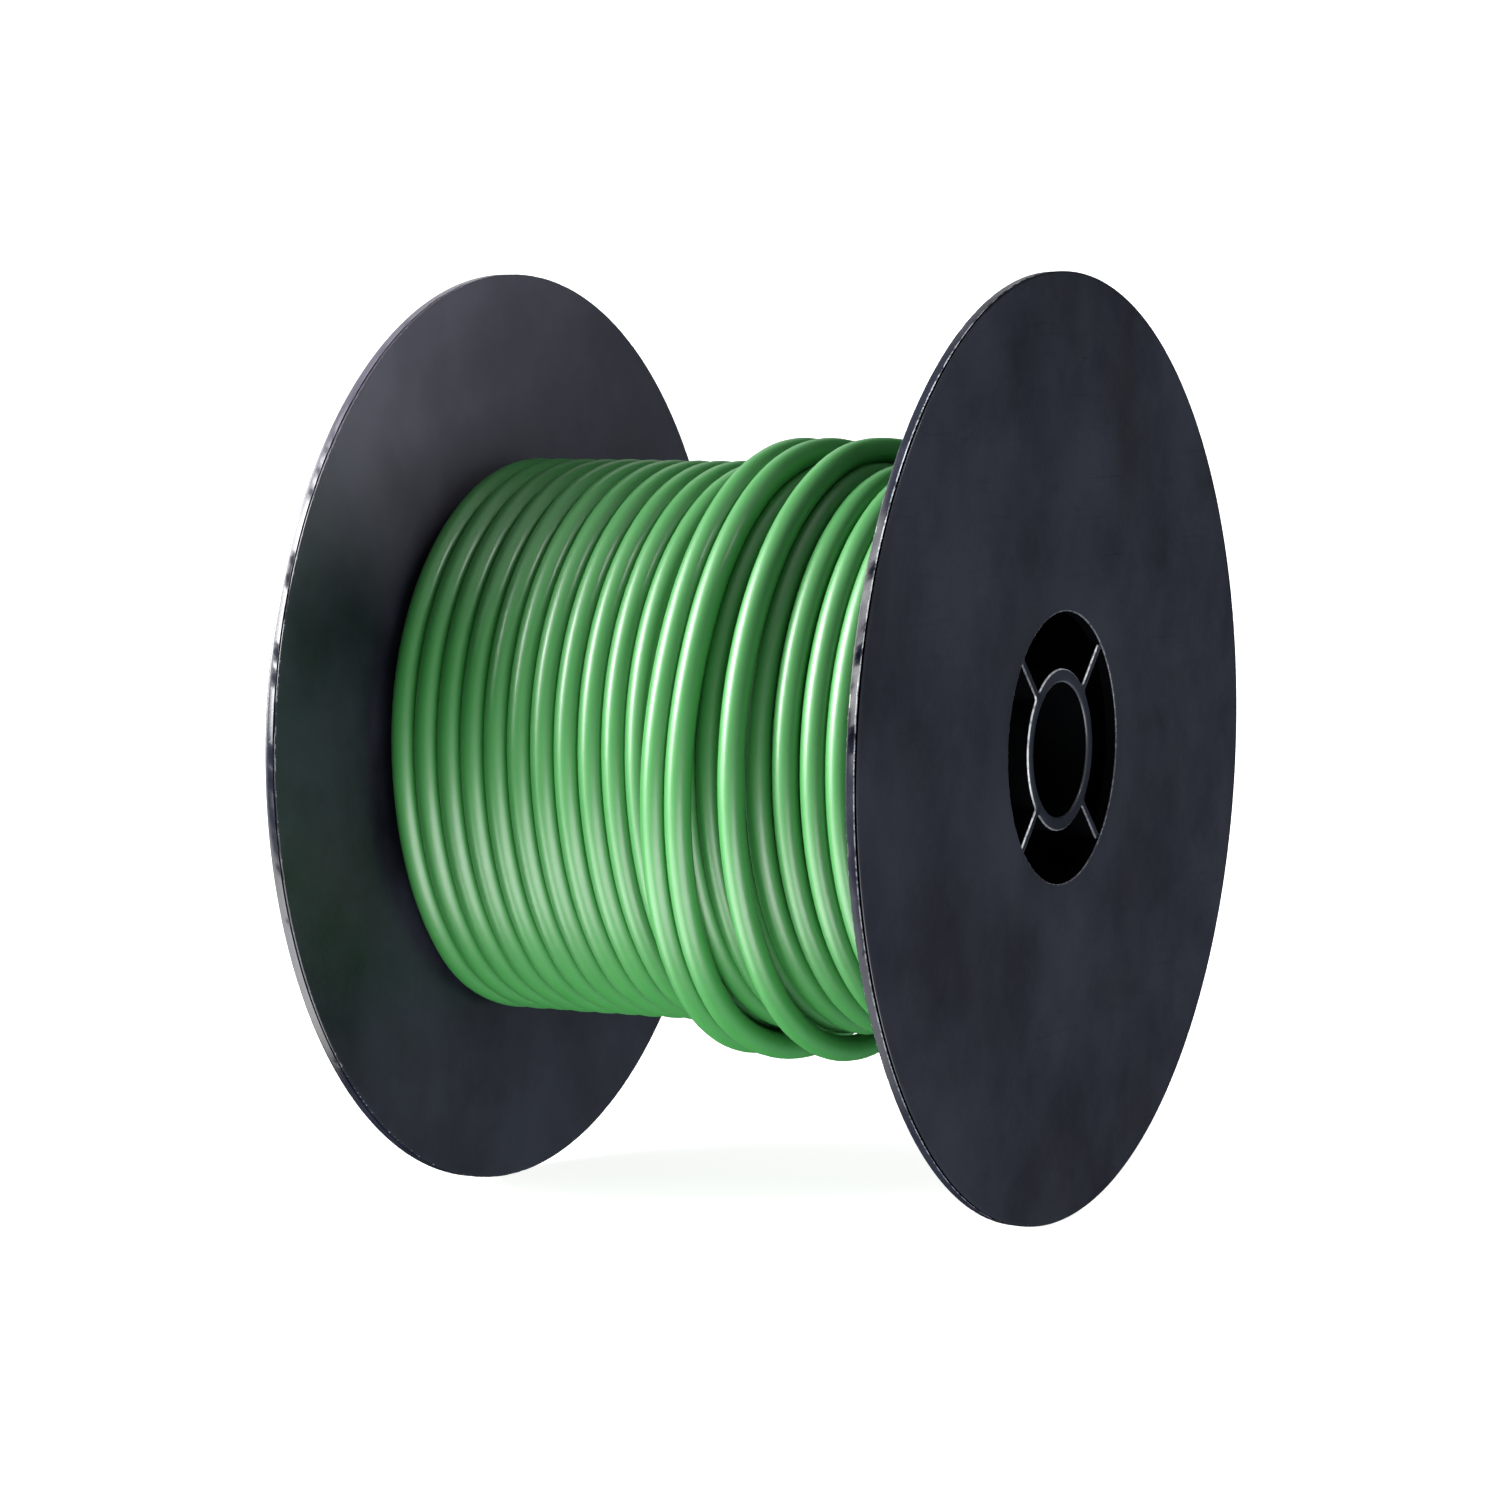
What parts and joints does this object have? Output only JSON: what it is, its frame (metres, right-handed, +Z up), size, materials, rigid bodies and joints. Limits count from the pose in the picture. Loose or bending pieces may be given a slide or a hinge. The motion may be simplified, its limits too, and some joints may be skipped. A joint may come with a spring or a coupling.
{
  "type": "wire spool",
  "caption": "Black plastic spool with two round flanges and a ribbed hub, wound with layers of green insulated wire and loose outer turns.",
  "frame": {"origin": "centre of the spool, on its axis and midway between the outer faces of the two flanges", "axes": "+Z up, +Y along the spool's axis from the near flange to the far flange, +X away from the side the picture shows; the spool lies on its two flange rims"},
  "size_m": [0.1142, 0.0766, 0.1142],
  "materials": {
    "spool_plastic": "satin moulded black plastic with a faint blue tint",
    "wire_insulation": "smooth glossy green PVC",
    "conductor_copper": "bright bare copper, drawn"
  },
  "bodies": {
    "root": {"near_spool_half": "spool_plastic", "far_spool_half": "spool_plastic", "wire_inner_layers": "wire_insulation", "wire_outer_layer": "wire_insulation", "loose_turn_1": "wire_insulation", "loose_turn_2": "wire_insulation", "loose_turn_3": "wire_insulation", "wire_free_end": "wire_insulation", "copper_strand_1": "conductor_copper", "copper_strand_2": "conductor_copper", "copper_strand_3": "conductor_copper", "copper_strand_4": "conductor_copper", "copper_strand_5": "conductor_copper", "copper_strand_6": "conductor_copper", "copper_strand_7": "conductor_copper"}
  },
  "joints": []
}
